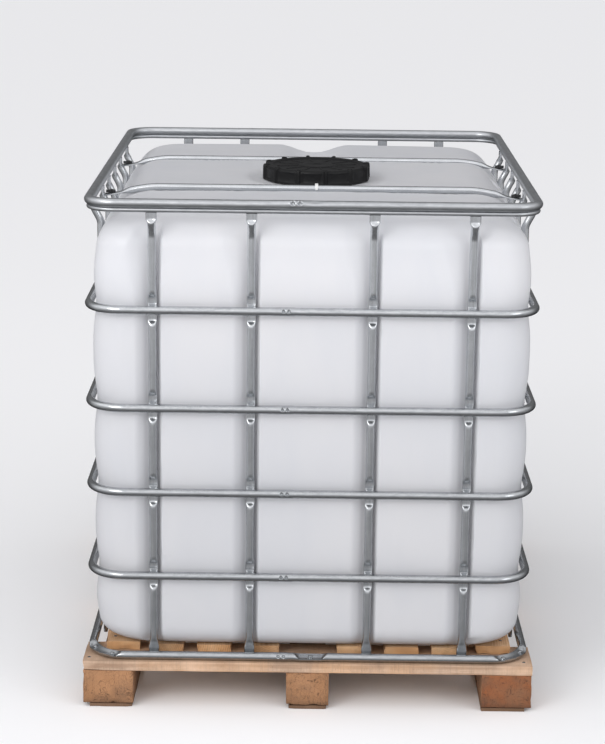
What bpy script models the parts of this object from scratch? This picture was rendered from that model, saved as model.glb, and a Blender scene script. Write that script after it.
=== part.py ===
"""Intermediate bulk container: a plastic bottle in a tubular steel cage on a wooden pallet.

Metres, +Z up. X runs along the 1000 mm ends and Y along the 1200 mm sides. The origin is on
the floor under the middle of the pallet. The outlet valve is in a recess at the +Y end.
"""
import math

import bmesh
import bpy
from mathutils import Matrix, Vector

# ------------------------------------------------------------------ driving sizes
END_WIDTH = 1.000
SIDE_LENGTH = 1.200
GAP = 0.0003

# Pallet levels, from the floor up.
RUNNER_TOP = 0.008
BLOCK_TOP = 0.086
CROSS_BOARD_TOP = 0.108
DECK_TOP = 0.128

BLOCK_LENGTH = 0.145
CORNER_BLOCK_WIDTH = 0.1125
CENTRE_BLOCK_WIDTH = 0.096
CORNER_RUNNER_WIDTH = 0.097
CENTRE_RUNNER_WIDTH = 0.087
RUNNER_INSET = 0.015
CROSS_BOARD_WIDTH = 0.120
DECK_BOARD_WIDTH = 0.078
DECK_BOARD_CENTRES = (0.103, 0.210, 0.317, 0.4165)
DECK_BOARD_SETBACK = 0.057
OUTER_BOARD_EXTRA_SETBACK = 0.014
WOOD_CHAMFER = 0.0015

# Cage: horizontal tubes go round outside the upright tubes.
RING_RADIUS = 0.0095
RING_INSET = 0.006
RING_CORNER = 0.082
RING_HEIGHTS = (0.304, 0.496, 0.686, 0.903)
BASE_RAIL_HEIGHT = CROSS_BOARD_TOP + GAP + RING_RADIUS
RIM_RADIUS = 0.010
RIM_INSET = 0.009
RIM_CORNER = 0.060
RIM_HEIGHT = 1.1336
RIM_LIP_RADIUS = 0.0052
RIM_LIP_DROP = 0.0146
UPRIGHT_RADIUS = 0.009
UPRIGHT_FOOT = CROSS_BOARD_TOP + GAP
UPRIGHT_TOP = RIM_HEIGHT - RIM_LIP_DROP - RIM_LIP_RADIUS - GAP
UPRIGHT_FLAT_WIDTH = 0.0125
UPRIGHT_FLAT_DEPTH = 0.0045
UPRIGHT_FLARE = 0.0153
FRONT_UPRIGHTS = (-0.343, -0.1305, 0.1305, 0.343)
REAR_UPRIGHTS = (-0.331, -0.182, 0.182, 0.331)
SIDE_UPRIGHTS = (-0.410, -0.225, -0.075, 0.075, 0.225, 0.410)

# Bars across the top of the bottle, each between two of the side uprights.
BAR_OFFSET = SIDE_UPRIGHTS[4]
BAR_RADIUS = 0.008
BAR_HEIGHT = 1.1125
BAR_END_HEIGHT = 1.092
BAR_HALF_LENGTH = 0.4752
BAR_FLAT_THICKNESS = 0.003

# Bottle.
BOTTLE_FOOT = DECK_TOP + GAP
BOTTLE_TOP = 1.103
BOTTLE_HALF_X = 0.472
BOTTLE_HALF_Y = 0.572
BOTTLE_CORNER = 0.085
BOTTLE_FOOT_RADIUS = 0.055
SHOULDER_REACH = 0.110
SHOULDER_DROP = 0.070
WALL = 0.003
GROOVE_DEPTH = 0.0175
GROOVE_FLOOR = 0.015
GROOVE_MOUTH = 0.027
GROOVE_WIDENING = 0.6
CORNER_SHARE = 0.45
CORNER_STEPS = 4

# Filling neck and lid, a little off the middle of the bottle's top.
NECK_X = 0.007
NECK_Y = -0.025
NECK_PLACING = Matrix.Translation((NECK_X, NECK_Y, 0.0))
NECK_RADIUS = 0.1125
NECK_BORE = 0.105
NECK_TOP = 1.129
LID_FOOT = 1.1055
LID_TOP = 1.1395
LID_RADIUS = 0.124
LID_INNER_RADIUS = 0.1155
LID_PANEL = 0.004
LID_RIB_RADIUS = 0.1285
LID_RIB_RISE = 0.003
LID_RIBS = 12
LID_FIRST_RIB = math.radians(-80.0)

# Outlet valve, in a recess at the +Y end.
OUTLET_HEIGHT = 0.203
OUTLET_BORE = 0.025
RECESS_HALF_WIDTH = 0.120
RECESS_BACK = 0.455
RECESS_TOP = 0.340
BOSS_RADIUS = 0.0375
BOSS_END = 0.475
STEM_Y = 0.505
STEM_RADIUS = 0.006
STEM_TOP = 0.268
STEM_BOSS_TOP = 0.250
LEVER_REACH = 0.088
OUTLET_END = 0.5555
OUTLET_CAP_END = 0.5665
OUTLET_CAP_SKIRT = 0.538

GUIDE_DISPLAY = "WIRE"
SMOOTH_ANGLE = math.radians(40.0)

# Name: colour, roughness, metallic.
FINISHES = {
    "galvanised_tube": ((0.52, 0.54, 0.56, 1.0), 0.34, 1.0),
    "pine_board": ((0.66, 0.44, 0.27, 1.0), 0.75, 0.0),
    "pine_block": ((0.50, 0.27, 0.13, 1.0), 0.80, 0.0),
    "pine_runner": ((0.36, 0.21, 0.12, 1.0), 0.85, 0.0),
    "natural_bottle": ((0.78, 0.79, 0.82, 1.0), 0.42, 0.0),
    "black_lid": ((0.012, 0.012, 0.013, 1.0), 0.48, 0.0),
    "seal_rubber": ((0.03, 0.03, 0.03, 1.0), 0.70, 0.0),
    "valve_body": ((0.04, 0.04, 0.045, 1.0), 0.50, 0.0),
    "valve_lever": ((0.45, 0.03, 0.02, 1.0), 0.45, 0.0),
    "valve_disc": ((0.70, 0.70, 0.68, 1.0), 0.45, 0.0),
}


# ------------------------------------------------------------------ scene helpers
def clear_scene():
    """Remove every object that the file starts with."""
    for obj in list(bpy.data.objects):
        bpy.data.objects.remove(obj)


def material(name):
    """One Principled material for each sub-part, with the finish's values."""
    colour, roughness, metallic = FINISHES[name]
    mat = bpy.data.materials.new(name)
    mat.use_nodes = True
    shader = mat.node_tree.nodes["Principled BSDF"]
    shader.inputs["Base Color"].default_value = colour
    shader.inputs["Roughness"].default_value = roughness
    shader.inputs["Metallic"].default_value = metallic
    return mat


def add_object(name, bm, finish, smooth=True):
    """Turn a bmesh into a named object, with outward faces and its own material."""
    bmesh.ops.recalc_face_normals(bm, faces=bm.faces[:])
    mesh = bpy.data.meshes.new(name)
    bm.to_mesh(mesh)
    bm.free()
    if smooth:
        mesh.shade_smooth()
        mesh.set_sharp_from_angle(angle=SMOOTH_ANGLE)
    obj = bpy.data.objects.new(name, mesh)
    bpy.context.scene.collection.objects.link(obj)
    if finish:
        mesh.materials.append(material(finish))
    return obj


def add_pivot(name, location):
    """An empty on a joint's axis, which the moving pieces hang from."""
    pivot = bpy.data.objects.new(name, None)
    pivot.location = location
    bpy.context.scene.collection.objects.link(pivot)
    return pivot


def hang_on(obj, pivot):
    """Parent a piece to its pivot and keep it where it was built."""
    obj.parent = pivot
    obj.location = -pivot.location


def combine(obj, other, operation):
    """Add or cut away another object, which then stays as a hidden guide."""
    other.hide_render = True
    other.display_type = GUIDE_DISPLAY
    modifier = obj.modifiers.new(operation.lower(), "BOOLEAN")
    modifier.operation = operation
    modifier.solver = "EXACT"
    modifier.object = other


# ------------------------------------------------------------------ shape helpers
def loft(rings, closed_path=False):
    """Skin a list of equal rings of points. An open path gets flat ends."""
    bm = bmesh.new()
    rows = [[bm.verts.new(point) for point in ring] for ring in rings]
    count = len(rows[0])
    spans = list(zip(rows, rows[1:]))
    if closed_path:
        spans.append((rows[-1], rows[0]))
    for low, high in spans:
        for i in range(count):
            j = (i + 1) % count
            bm.faces.new((low[i], low[j], high[j], high[i]))
    if not closed_path:
        bm.faces.new(rows[0])
        bm.faces.new(rows[-1])
    return bm


def circle(radius, count, start=0.0):
    """Points around a circle in its own plane, anticlockwise."""
    step = 2.0 * math.pi / count
    return [
        (radius * math.cos(start + i * step), radius * math.sin(start + i * step))
        for i in range(count)
    ]


def turned(stations, count, placing, closed_path=False):
    """A turned shape: (height along the axis, radius) stations, then placed by a matrix."""
    rings = []
    for height, radius in stations:
        rings.append([placing @ Vector((x, y, height)) for x, y in circle(radius, count)])
    return loft(rings, closed_path)


def along_y(y, z):
    """Placing that lays a turned shape's axis along +Y, through (0, y, z)."""
    return Matrix.Translation((0.0, y, z)) @ Matrix.Rotation(math.radians(-90.0), 4, "X")


def box(name, low, high, finish=None, chamfer=0.0):
    """A box between two corners, with its origin at its middle."""
    low = Vector(low)
    high = Vector(high)
    bm = bmesh.new()
    bmesh.ops.create_cube(bm, size=1.0)
    bmesh.ops.scale(bm, vec=high - low, verts=bm.verts[:])
    obj = add_object(name, bm, finish, smooth=False)
    obj.location = (low + high) / 2.0
    if chamfer:
        bevel = obj.modifiers.new("chamfer", "BEVEL")
        bevel.width = chamfer
        bevel.segments = 1
    return obj


def corner_arcs(half_x, half_y, radius, steps):
    """(arc centre, outward direction) pairs around a rounded rectangle, anticlockwise."""
    pairs = []
    signs = ((1, 1), (-1, 1), (-1, -1), (1, -1))
    for quarter, (sign_x, sign_y) in enumerate(signs):
        centre = Vector((sign_x * (half_x - radius), sign_y * (half_y - radius)))
        for step in range(steps + 1):
            angle = (quarter + step / steps) * math.pi / 2.0
            pairs.append((centre, Vector((math.cos(angle), math.sin(angle)))))
    return pairs


# ------------------------------------------------------------------ pallet
def build_pallet():
    half_x = END_WIDTH / 2.0
    half_y = SIDE_LENGTH / 2.0
    block_offset = half_x - CORNER_BLOCK_WIDTH / 2.0
    runner_offset = half_x - RUNNER_INSET - CORNER_RUNNER_WIDTH / 2.0
    columns = (
        ("left", -block_offset, CORNER_BLOCK_WIDTH, -runner_offset, CORNER_RUNNER_WIDTH),
        ("centre", 0.0, CENTRE_BLOCK_WIDTH, 0.0, CENTRE_RUNNER_WIDTH),
        ("right", block_offset, CORNER_BLOCK_WIDTH, runner_offset, CORNER_RUNNER_WIDTH),
    )
    rows = (
        ("front", -half_y, -half_y + BLOCK_LENGTH, -half_y + CROSS_BOARD_WIDTH),
        ("middle", -BLOCK_LENGTH / 2.0, BLOCK_LENGTH / 2.0, CROSS_BOARD_WIDTH / 2.0),
        ("rear", half_y - BLOCK_LENGTH, half_y, half_y),
    )
    for column, x, block_width, runner_x, runner_width in columns:
        box(
            f"runner_{column}",
            (runner_x - runner_width / 2.0, -half_y, 0.0),
            (runner_x + runner_width / 2.0, half_y, RUNNER_TOP - GAP),
            "pine_runner",
            WOOD_CHAMFER,
        )
        for row, y_low, y_high, _ in rows:
            box(
                f"block_{row}_{column}",
                (x - block_width / 2.0, y_low, RUNNER_TOP),
                (x + block_width / 2.0, y_high, BLOCK_TOP - GAP),
                "pine_block",
                WOOD_CHAMFER,
            )
    for row, _, _, board_high in rows:
        box(
            f"cross_board_{row}",
            (-half_x, board_high - CROSS_BOARD_WIDTH, BLOCK_TOP),
            (half_x, board_high, CROSS_BOARD_TOP - GAP),
            "pine_board",
            WOOD_CHAMFER,
        )
    centres = [-x for x in reversed(DECK_BOARD_CENTRES)] + list(DECK_BOARD_CENTRES)
    for number, x in enumerate(centres, start=1):
        setback = DECK_BOARD_SETBACK
        if number in (1, len(centres)):
            setback += OUTER_BOARD_EXTRA_SETBACK
        box(
            f"deck_board_{number}",
            (x - DECK_BOARD_WIDTH / 2.0, -half_y + setback, CROSS_BOARD_TOP),
            (x + DECK_BOARD_WIDTH / 2.0, half_y - setback, DECK_TOP - GAP),
            "pine_board",
            WOOD_CHAMFER,
        )


# ------------------------------------------------------------------ cage
RING_SIDES = 8
RING_CORNER_STEPS = 5


def ring_tube(name, height, half_x, half_y, corner, outline):
    """A closed tube round the cage. The outline is (outward, upward) from its centre line."""
    rings = []
    for centre, direction in corner_arcs(half_x, half_y, corner, RING_CORNER_STEPS):
        ring = []
        for outward, upward in outline:
            place = centre + direction * (corner + outward)
            ring.append((place.x, place.y, height + upward))
        rings.append(ring)
    add_object(name, loft(rings, closed_path=True), "galvanised_tube")


def rim_outline():
    """The rim's section: the main tube with the small lip tube welded under it."""
    main_start = math.radians(-65.0)
    main_end = math.radians(245.0)
    main_steps = 8
    lip_start = math.radians(150.0)
    lip_end = math.radians(390.0)
    lip_steps = 5
    points = []
    for i in range(main_steps + 1):
        angle = main_start + (main_end - main_start) * i / main_steps
        points.append((RIM_RADIUS * math.cos(angle), RIM_RADIUS * math.sin(angle)))
    for i in range(lip_steps + 1):
        angle = lip_start + (lip_end - lip_start) * i / lip_steps
        points.append((
            RIM_LIP_RADIUS * math.cos(angle),
            RIM_LIP_RADIUS * math.sin(angle) - RIM_LIP_DROP,
        ))
    return points


def build_rings():
    inset = RING_INSET + RING_RADIUS
    half_x = END_WIDTH / 2.0 - inset
    half_y = SIDE_LENGTH / 2.0 - inset
    outline = circle(RING_RADIUS, RING_SIDES)
    ring_tube("base_rail", BASE_RAIL_HEIGHT, half_x, half_y, RING_CORNER, outline)
    for number, height in enumerate(RING_HEIGHTS, start=1):
        ring_tube(f"cage_ring_{number}", height, half_x, half_y, RING_CORNER, outline)
    rim_inset = RIM_INSET + RIM_RADIUS
    ring_tube(
        "top_rim",
        RIM_HEIGHT,
        END_WIDTH / 2.0 - rim_inset,
        SIDE_LENGTH / 2.0 - rim_inset,
        RIM_CORNER,
        rim_outline(),
    )


def upright_mesh():
    """An upright at the origin of its wall: X runs along the wall and Y points outwards."""
    flat = (UPRIGHT_FLAT_WIDTH, UPRIGHT_FLAT_DEPTH)
    full = (UPRIGHT_RADIUS, UPRIGHT_RADIUS)
    flat_length = 0.022
    taper_length = 0.055
    stations = (
        (UPRIGHT_FOOT, flat, 0.0),
        (UPRIGHT_FOOT + flat_length, flat, 0.0),
        (UPRIGHT_FOOT + taper_length, full, 0.0),
        (UPRIGHT_TOP - 2.0 * taper_length, full, 0.0),
        (UPRIGHT_TOP - flat_length, flat, UPRIGHT_FLARE),
        (UPRIGHT_TOP, flat, UPRIGHT_FLARE),
    )
    rings = []
    for height, (half_width, half_depth), outward in stations:
        rings.append([
            (half_width * x, half_depth * y + outward, height)
            for x, y in circle(1.0, RING_SIDES)
        ])
    return loft(rings)


def build_uprights():
    inset = RING_INSET + 2.0 * RING_RADIUS + GAP + UPRIGHT_RADIUS
    wall_x = END_WIDTH / 2.0 - inset
    wall_y = SIDE_LENGTH / 2.0 - inset
    walls = (
        ("front", [(x, -wall_y) for x in FRONT_UPRIGHTS], 180.0),
        ("rear", [(x, wall_y) for x in REAR_UPRIGHTS], 0.0),
        ("left", [(-wall_x, y) for y in SIDE_UPRIGHTS], 90.0),
        ("right", [(wall_x, y) for y in SIDE_UPRIGHTS], -90.0),
    )
    for wall, places, turn in walls:
        for number, (x, y) in enumerate(places, start=1):
            obj = add_object(f"upright_{wall}_{number}", upright_mesh(), "galvanised_tube")
            obj.location = (x, y, 0.0)
            obj.rotation_euler = (0.0, 0.0, math.radians(turn))


def build_cross_bars():
    """Two tubes over the bottle, with flattened ends that bend down to the side uprights."""
    # (x, height, half width, half thickness) along one half of a bar.
    stations = (
        (0.365, BAR_HEIGHT, BAR_RADIUS, BAR_RADIUS),
        (0.400, 1.1090, BAR_RADIUS, 0.0065),
        (0.430, 1.1010, 0.0100, 0.0045),
        (BAR_HALF_LENGTH, BAR_END_HEIGHT, 0.0120, BAR_FLAT_THICKNESS),
    )
    mirrored = [(-x, z, half_y, half_z) for x, z, half_y, half_z in reversed(stations)]
    for name, y in (("front", -BAR_OFFSET), ("rear", BAR_OFFSET)):
        rings = []
        for x, z, half_y, half_z in mirrored + list(stations):
            rings.append([
                (x, half_y * side, z + half_z * up) for side, up in circle(1.0, RING_SIDES)
            ])
        obj = add_object(f"cross_bar_{name}", loft(rings), "galvanised_tube")
        obj.location = (0.0, y, 0.0)


# ------------------------------------------------------------------ bottle
def bottle_wall(places, half_across, depth, widen):
    """(along, across) points of one wall in the order of travel, dipping in at each groove."""
    points = []
    for place in places:
        for offset, dip in (
            (-GROOVE_MOUTH - widen, 0.0),
            (-GROOVE_FLOOR - widen, depth),
            (GROOVE_FLOOR + widen, depth),
            (GROOVE_MOUTH + widen, 0.0),
        ):
            points.append((place + offset, half_across - dip))
    return points


def bottle_outline(inset, height, wall):
    """One level of the bottle: rounded corners joined by walls with grooves for the uprights."""
    half_x = BOTTLE_HALF_X - wall - inset
    half_y = BOTTLE_HALF_Y - wall - inset
    corner = BOTTLE_CORNER - wall - CORNER_SHARE * inset
    depth = max(0.0, GROOVE_DEPTH - inset)
    widen = GROOVE_WIDENING * wall
    squeeze_x = half_x / (half_x + inset)
    squeeze_y = half_y / (half_y + inset)
    rear = bottle_wall([x * squeeze_x for x in REAR_UPRIGHTS], half_y, depth, widen)
    front = bottle_wall([x * squeeze_x for x in FRONT_UPRIGHTS], half_y, depth, widen)
    side = bottle_wall([y * squeeze_y for y in SIDE_UPRIGHTS], half_x, depth, widen)
    walls = (
        [(-along, across) for along, across in rear],
        [(-across, -along) for along, across in side],
        [(along, -across) for along, across in front],
        [(across, along) for along, across in side],
    )
    arcs = corner_arcs(half_x, half_y, corner, CORNER_STEPS)
    arc_size = CORNER_STEPS + 1
    points = []
    for quarter, wall_points in enumerate(walls):
        for centre, direction in arcs[quarter * arc_size:(quarter + 1) * arc_size]:
            place = centre + direction * corner
            points.append((place.x, place.y, height))
        points += [(x, y, height) for x, y in wall_points]
    return points


def bottle_shape(wall):
    """The bottle's closed outer form, or its inside when a wall thickness is given."""
    foot_steps = 3
    shoulder_steps = 4
    foot_radius = BOTTLE_FOOT_RADIUS - wall
    reach = SHOULDER_REACH - wall
    drop = SHOULDER_DROP - wall
    foot = BOTTLE_FOOT + wall
    top = BOTTLE_TOP - wall
    levels = []
    for i in range(foot_steps + 1):
        angle = math.pi / 2.0 * i / foot_steps
        inset = foot_radius * (1.0 - math.sin(angle))
        levels.append((inset, foot + foot_radius * (1.0 - math.cos(angle))))
    for i in range(shoulder_steps + 1):
        angle = math.pi / 2.0 * i / shoulder_steps
        inset = reach * (1.0 - math.cos(angle))
        levels.append((inset, top - drop * (1.0 - math.sin(angle))))
    return loft([bottle_outline(inset, height, wall) for inset, height in levels])


def build_bottle():
    round_steps = 40
    boss_steps = 24
    overlap = 0.010
    bottle = add_object("bottle", bottle_shape(0.0), "natural_bottle")
    recess = box(
        "recess_cutter",
        (-RECESS_HALF_WIDTH, RECESS_BACK, 0.0),
        (RECESS_HALF_WIDTH, SIDE_LENGTH, RECESS_TOP),
    )
    neck_stations = ((BOTTLE_TOP - overlap, NECK_RADIUS), (NECK_TOP, NECK_RADIUS))
    neck = add_object("neck_form", turned(neck_stations, round_steps, NECK_PLACING), None)
    boss_stations = ((-overlap, BOSS_RADIUS), (BOSS_END - RECESS_BACK, BOSS_RADIUS))
    boss = add_object(
        "outlet_boss_form",
        turned(boss_stations, boss_steps, along_y(RECESS_BACK, OUTLET_HEIGHT)),
        None,
    )
    inside = add_object("bottle_inside_cutter", bottle_shape(WALL), None)
    inside_limit = box(
        "inside_limit",
        (-RECESS_HALF_WIDTH - WALL, RECESS_BACK - WALL, 0.0),
        (RECESS_HALF_WIDTH + WALL, SIDE_LENGTH, RECESS_TOP + WALL),
    )
    bore_stations = ((BOTTLE_TOP - 3.0 * overlap, NECK_BORE), (NECK_TOP + overlap, NECK_BORE))
    neck_bore = add_object("neck_bore_cutter", turned(bore_stations, round_steps, NECK_PLACING), None)
    outlet_stations = ((-3.0 * overlap, OUTLET_BORE), (3.0 * overlap, OUTLET_BORE))
    outlet_bore = add_object(
        "outlet_bore_cutter",
        turned(outlet_stations, boss_steps, along_y(RECESS_BACK, OUTLET_HEIGHT)),
        None,
    )
    combine(inside, inside_limit, "DIFFERENCE")
    combine(bottle, recess, "DIFFERENCE")
    combine(bottle, neck, "UNION")
    combine(bottle, boss, "UNION")
    combine(bottle, inside, "DIFFERENCE")
    combine(bottle, neck_bore, "DIFFERENCE")
    combine(bottle, outlet_bore, "DIFFERENCE")


# ------------------------------------------------------------------ lid
def ribbed_ring(base_radius, rib_radius, ribs, first, height, rib_height=None):
    """Points round a ribbed edge: six for each rib pitch, two of them on the rib."""
    pitch = 2.0 * math.pi / ribs
    # (share of the pitch, radius, height) for one rib and the panel after it.
    pattern = (
        (-0.085, base_radius, height),
        (-0.055, rib_radius, rib_height or height),
        (0.055, rib_radius, rib_height or height),
        (0.085, base_radius, height),
        (0.36, base_radius, height),
        (0.64, base_radius, height),
    )
    points = []
    for rib in range(ribs):
        for share, radius, z in pattern:
            angle = first + (rib + share) * pitch
            points.append((radius * math.cos(angle), radius * math.sin(angle), z))
    return points


def build_lid():
    """The screw lid and the flat ring seal between it and the neck."""
    dish_radius = 0.100
    dish_depth = 0.003
    edge = 0.003
    gasket_steps = 40
    gasket_overhang = 0.004

    def ring(radius, height, rib_radius=None, rib_height=None):
        points = ribbed_ring(
            radius, rib_radius or radius, LID_RIBS, LID_FIRST_RIB, height, rib_height
        )
        return [NECK_PLACING @ Vector(point) for point in points]

    panel_floor = LID_TOP - dish_depth
    underside = panel_floor - LID_PANEL
    rings = [
        ring(LID_INNER_RADIUS, underside),
        ring(LID_INNER_RADIUS, LID_FOOT),
        ring(LID_RADIUS, LID_FOOT, LID_RIB_RADIUS),
        ring(LID_RADIUS, LID_TOP - edge, LID_RIB_RADIUS, LID_TOP),
        ring(LID_RADIUS - edge, LID_TOP, LID_RIB_RADIUS - edge, LID_TOP + LID_RIB_RISE),
        ring(LID_RADIUS - 3.0 * edge, LID_TOP),
        ring(dish_radius, LID_TOP),
        ring(dish_radius - edge, panel_floor),
    ]
    lid = add_object("screw_lid", loft(rings), "black_lid")
    gasket_stations = (
        (NECK_TOP + GAP, NECK_BORE - gasket_overhang),
        (NECK_TOP + GAP, NECK_RADIUS),
        (underside - GAP, NECK_RADIUS),
        (underside - GAP, NECK_BORE - gasket_overhang),
    )
    gasket = add_object(
        "lid_gasket",
        turned(gasket_stations, gasket_steps, NECK_PLACING, closed_path=True),
        "seal_rubber",
    )
    pivot = add_pivot("lid_axis", (NECK_X, NECK_Y, NECK_TOP))
    hang_on(lid, pivot)
    hang_on(gasket, pivot)


# ------------------------------------------------------------------ outlet valve
def build_valve_body():
    count = 24
    stem_count = 18
    overlap = 0.006
    flange_radius = 0.0372
    flange_thickness = 0.0045
    tube_radius = 0.033
    barrel_radius = 0.036
    barrel_half_length = 0.015
    barrel_taper = 0.004
    outlet_radius = 0.030
    stem_boss_radius = 0.014
    start = BOSS_END + GAP
    stations = (
        (start, OUTLET_BORE),
        (start, flange_radius),
        (start + flange_thickness, flange_radius),
        (start + flange_thickness, tube_radius),
        (STEM_Y - barrel_half_length - barrel_taper, tube_radius),
        (STEM_Y - barrel_half_length, barrel_radius),
        (STEM_Y + barrel_half_length, barrel_radius),
        (STEM_Y + barrel_half_length + barrel_taper, outlet_radius),
        (OUTLET_END, outlet_radius),
        (OUTLET_END, OUTLET_BORE),
    )
    axis = along_y(0.0, OUTLET_HEIGHT)
    body = add_object("valve_body", turned(stations, count, axis, True), "valve_body")
    off_grid = math.radians(4.0)
    stem_axis = Matrix.Translation((0.0, STEM_Y, 0.0)) @ Matrix.Rotation(off_grid, 4, "Z")
    boss_foot = OUTLET_HEIGHT + OUTLET_BORE + overlap
    boss_stations = ((boss_foot, stem_boss_radius), (STEM_BOSS_TOP, stem_boss_radius))
    boss = add_object("stem_boss_form", turned(boss_stations, stem_count, stem_axis), None)
    hole_radius = STEM_RADIUS + GAP
    hole = add_object(
        "stem_hole_cutter",
        turned(((OUTLET_HEIGHT, hole_radius), (STEM_TOP, hole_radius)), stem_count, stem_axis),
        None,
    )
    combine(body, boss, "UNION")
    combine(body, hole, "DIFFERENCE")


def build_union_nut():
    """The ribbed nut that pulls the valve's flange against the bottle's outlet."""
    ribs = 8
    inner = BOSS_RADIUS + GAP
    lip = 0.0333
    outer = 0.0445
    rib = 0.047
    space_behind = 0.004
    flange_room = 0.0052
    lip_thickness = 0.0043
    start = RECESS_BACK + space_behind
    step = BOSS_END + flange_room
    end = step + lip_thickness
    rings = []
    for height, radius, rib_radius in (
        (start, inner, inner),
        (start, outer, rib),
        (end, outer, rib),
        (end, lip, lip),
        (step, lip, lip),
        (step, inner, inner),
    ):
        points = ribbed_ring(radius, rib_radius, ribs, 0.0, height)
        rings.append([along_y(0.0, OUTLET_HEIGHT) @ Vector(point) for point in points])
    add_object("union_nut", loft(rings, closed_path=True), "black_lid")


def build_valve_stem():
    """The butterfly disc on its stem, and the lever on top. Both turn on the stem's axis."""
    disc_count = 32
    stem_count = 16
    disc_radius = OUTLET_BORE - 2.0 * GAP
    half_disc = 0.0025
    disc = add_object(
        "valve_disc",
        turned(
            ((-half_disc, disc_radius), (half_disc, disc_radius)),
            disc_count,
            along_y(STEM_Y, OUTLET_HEIGHT),
        ),
        "valve_disc",
    )
    stem_axis = Matrix.Translation((0.0, STEM_Y, 0.0))
    stem_stations = ((OUTLET_HEIGHT, STEM_RADIUS), (STEM_TOP, STEM_RADIUS))
    stem = add_object("stem_form", turned(stem_stations, stem_count, stem_axis), None)
    combine(disc, stem, "UNION")

    hub_foot = STEM_BOSS_TOP + GAP
    hub_top = 0.271
    hub_radius = 0.016
    arm_foot = 0.261
    lever = add_object(
        "valve_lever",
        turned(((hub_foot, hub_radius), (hub_top, hub_radius)), disc_count, stem_axis),
        "valve_lever",
    )
    arm_rings = []
    # (x, half width, top height) along the lever's arm.
    for x, half_width, top in (
        (0.004, 0.012, 0.270),
        (0.040, 0.011, 0.270),
        (0.078, 0.014, 0.273),
        (LEVER_REACH, 0.009, 0.273),
    ):
        arm_rings.append([
            (x, STEM_Y - half_width, arm_foot),
            (x, STEM_Y + half_width, arm_foot),
            (x, STEM_Y + half_width, top),
            (x, STEM_Y - half_width, top),
        ])
    arm = add_object("lever_arm_form", loft(arm_rings), None)
    socket_radius = STEM_RADIUS + GAP
    socket_stations = ((OUTLET_HEIGHT, socket_radius), (RECESS_TOP, socket_radius))
    socket = add_object(
        "lever_socket_cutter",
        turned(socket_stations, stem_count, stem_axis),
        None,
    )
    combine(lever, arm, "UNION")
    combine(lever, socket, "DIFFERENCE")
    pivot = add_pivot("valve_axis", (0.0, STEM_Y, OUTLET_HEIGHT))
    for obj in (disc, lever):
        hang_on(obj, pivot)
    for form in (stem, arm, socket):
        hang_on(form, pivot)


def build_outlet_cap():
    """The screw cap on the valve's outlet, and the flat seal inside it."""
    ribs = 12
    inner = 0.0305
    outer = 0.0355
    rib = 0.0370
    edge = 0.002
    seal_thickness = 0.0025
    seal_steps = 24
    cap_floor = OUTLET_END + 2.0 * GAP + seal_thickness
    axis = along_y(0.0, OUTLET_HEIGHT)
    rings = []
    for height, radius, rib_radius in (
        (cap_floor, inner, inner),
        (OUTLET_CAP_SKIRT, inner, inner),
        (OUTLET_CAP_SKIRT, outer, rib),
        (OUTLET_CAP_END - edge, outer, rib),
        (OUTLET_CAP_END, outer - edge, rib - edge),
    ):
        points = ribbed_ring(radius, rib_radius, ribs, 0.0, height)
        rings.append([axis @ Vector(point) for point in points])
    cap = add_object("outlet_cap", loft(rings), "black_lid")
    seal_inner = 0.022
    seal_outer = 0.0295
    seal_stations = (
        (OUTLET_END + GAP, seal_inner),
        (OUTLET_END + GAP, seal_outer),
        (cap_floor - GAP, seal_outer),
        (cap_floor - GAP, seal_inner),
    )
    seal = add_object("outlet_gasket", turned(seal_stations, seal_steps, axis, True), "seal_rubber")
    pivot = add_pivot("outlet_cap_axis", (0.0, OUTLET_END, OUTLET_HEIGHT))
    hang_on(cap, pivot)
    hang_on(seal, pivot)


# ------------------------------------------------------------------ build
clear_scene()
build_pallet()
build_rings()
build_uprights()
build_cross_bars()
build_bottle()
build_lid()
build_valve_body()
build_union_nut()
build_valve_stem()
build_outlet_cap()
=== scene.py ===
"""Looks for a caged bulk container on a wooden pallet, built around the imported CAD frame.

Metres, +Z up. Every mesh is made in the frame's own coordinates, with its object at the origin,
so that object coordinates in the materials are places on the real thing.
"""
import math

import bmesh
import bpy
import numpy as np
from mathutils import Matrix, Vector, noise


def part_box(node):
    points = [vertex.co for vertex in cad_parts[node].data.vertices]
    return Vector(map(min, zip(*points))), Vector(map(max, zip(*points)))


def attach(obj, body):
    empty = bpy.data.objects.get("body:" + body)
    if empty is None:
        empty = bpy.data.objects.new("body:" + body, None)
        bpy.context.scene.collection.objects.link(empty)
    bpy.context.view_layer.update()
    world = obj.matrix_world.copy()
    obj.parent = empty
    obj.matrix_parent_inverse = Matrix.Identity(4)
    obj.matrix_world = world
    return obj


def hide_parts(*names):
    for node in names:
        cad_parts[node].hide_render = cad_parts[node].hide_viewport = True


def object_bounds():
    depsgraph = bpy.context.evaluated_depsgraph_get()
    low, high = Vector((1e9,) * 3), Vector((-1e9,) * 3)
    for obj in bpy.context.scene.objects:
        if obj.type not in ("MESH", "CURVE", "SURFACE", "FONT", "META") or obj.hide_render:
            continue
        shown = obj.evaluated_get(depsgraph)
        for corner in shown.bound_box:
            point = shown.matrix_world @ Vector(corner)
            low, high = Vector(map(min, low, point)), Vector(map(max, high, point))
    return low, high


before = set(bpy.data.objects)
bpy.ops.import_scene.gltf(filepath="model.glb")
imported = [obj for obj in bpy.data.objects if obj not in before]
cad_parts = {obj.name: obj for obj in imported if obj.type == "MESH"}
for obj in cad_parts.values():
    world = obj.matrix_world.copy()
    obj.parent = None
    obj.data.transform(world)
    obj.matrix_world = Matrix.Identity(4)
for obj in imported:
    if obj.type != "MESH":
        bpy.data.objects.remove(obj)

cad_low, cad_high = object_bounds()
noise.seed_set(7)  # unseeded, it starts from the clock and each run differs


def centre(node):
    """The middle of a CAD node's box."""
    low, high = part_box(node)
    return tuple((a + b) / 2.0 for a, b in zip(low, high))


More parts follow.
